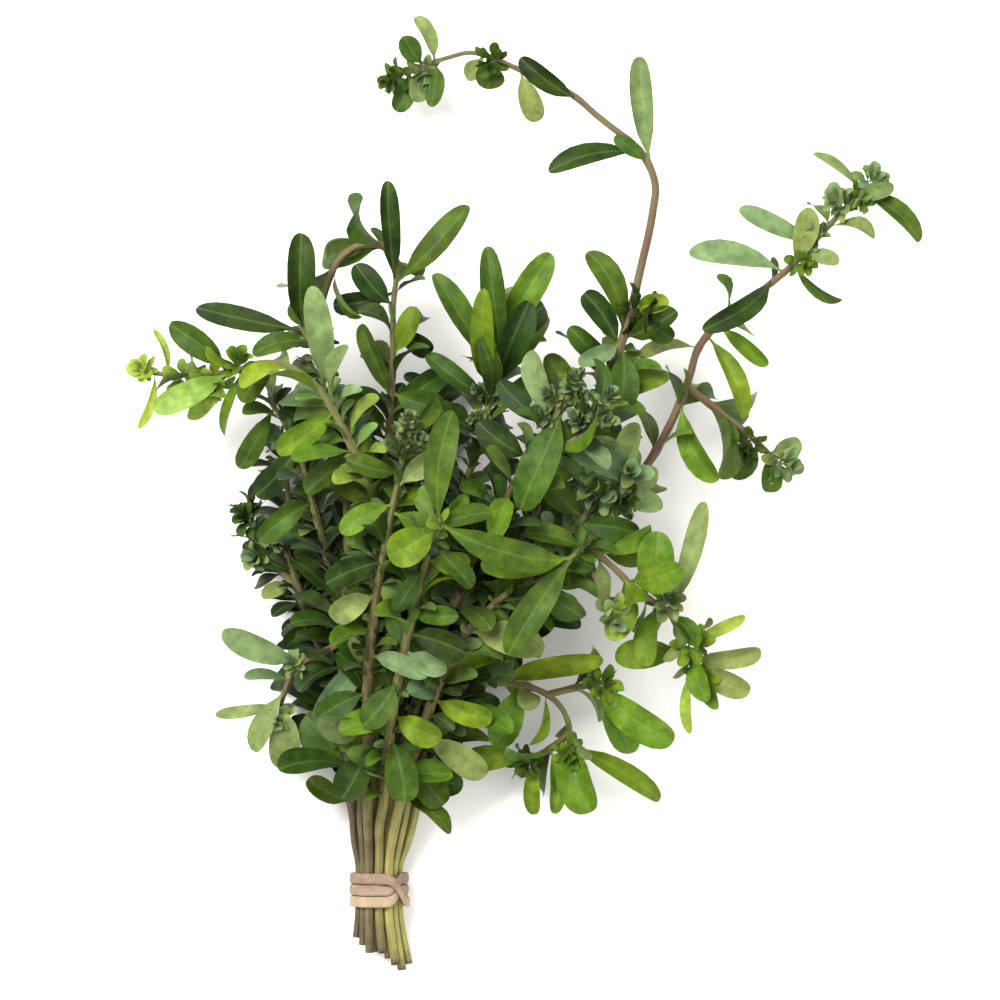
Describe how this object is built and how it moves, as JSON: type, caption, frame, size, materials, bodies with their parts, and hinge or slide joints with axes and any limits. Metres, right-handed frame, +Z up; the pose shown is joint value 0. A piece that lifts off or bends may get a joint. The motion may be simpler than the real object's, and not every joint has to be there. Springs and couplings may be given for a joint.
{
  "type": "marjoram bundle",
  "caption": "Bunch of fresh marjoram laid flat, its leafy stems fanning out from a rubber band wound near the cut ends.",
  "frame": {"origin": "on the surface that the bunch lies on, straight under the middle strand of the rubber band", "axes": "+Y along the bunch from the band towards the leafy tips, +Z up away from the surface, +X to the right seen from above"},
  "size_m": [0.1596, 0.1925, 0.0556],
  "materials": {
    "leafy_stem": "satin",
    "band_rubber": "matt"
  },
  "bodies": {
    "root": {"rubber_band": "band_rubber", "sprig_top_middle": "leafy_stem", "sprig_right": "leafy_stem", "sprig_knot_right": "leafy_stem", "sprig_left": "leafy_stem", "sprig_left_hanging": "leafy_stem", "sprig_top_centre": "leafy_stem", "sprig_curled": "leafy_stem", "sprig_right_arch": "leafy_stem", "sprig_rosette": "leafy_stem", "sprig_front_right": "leafy_stem", "sprig_front_centre": "leafy_stem", "sprig_knot_left": "leafy_stem", "sprig_upper_left": "leafy_stem", "sprig_lower_left": "leafy_stem", "sprig_left_middle": "leafy_stem", "sprig_under_left": "leafy_stem", "sprig_under_middle": "leafy_stem", "sprig_under_right": "leafy_stem", "sprig_lower_right": "leafy_stem"}
  },
  "joints": []
}
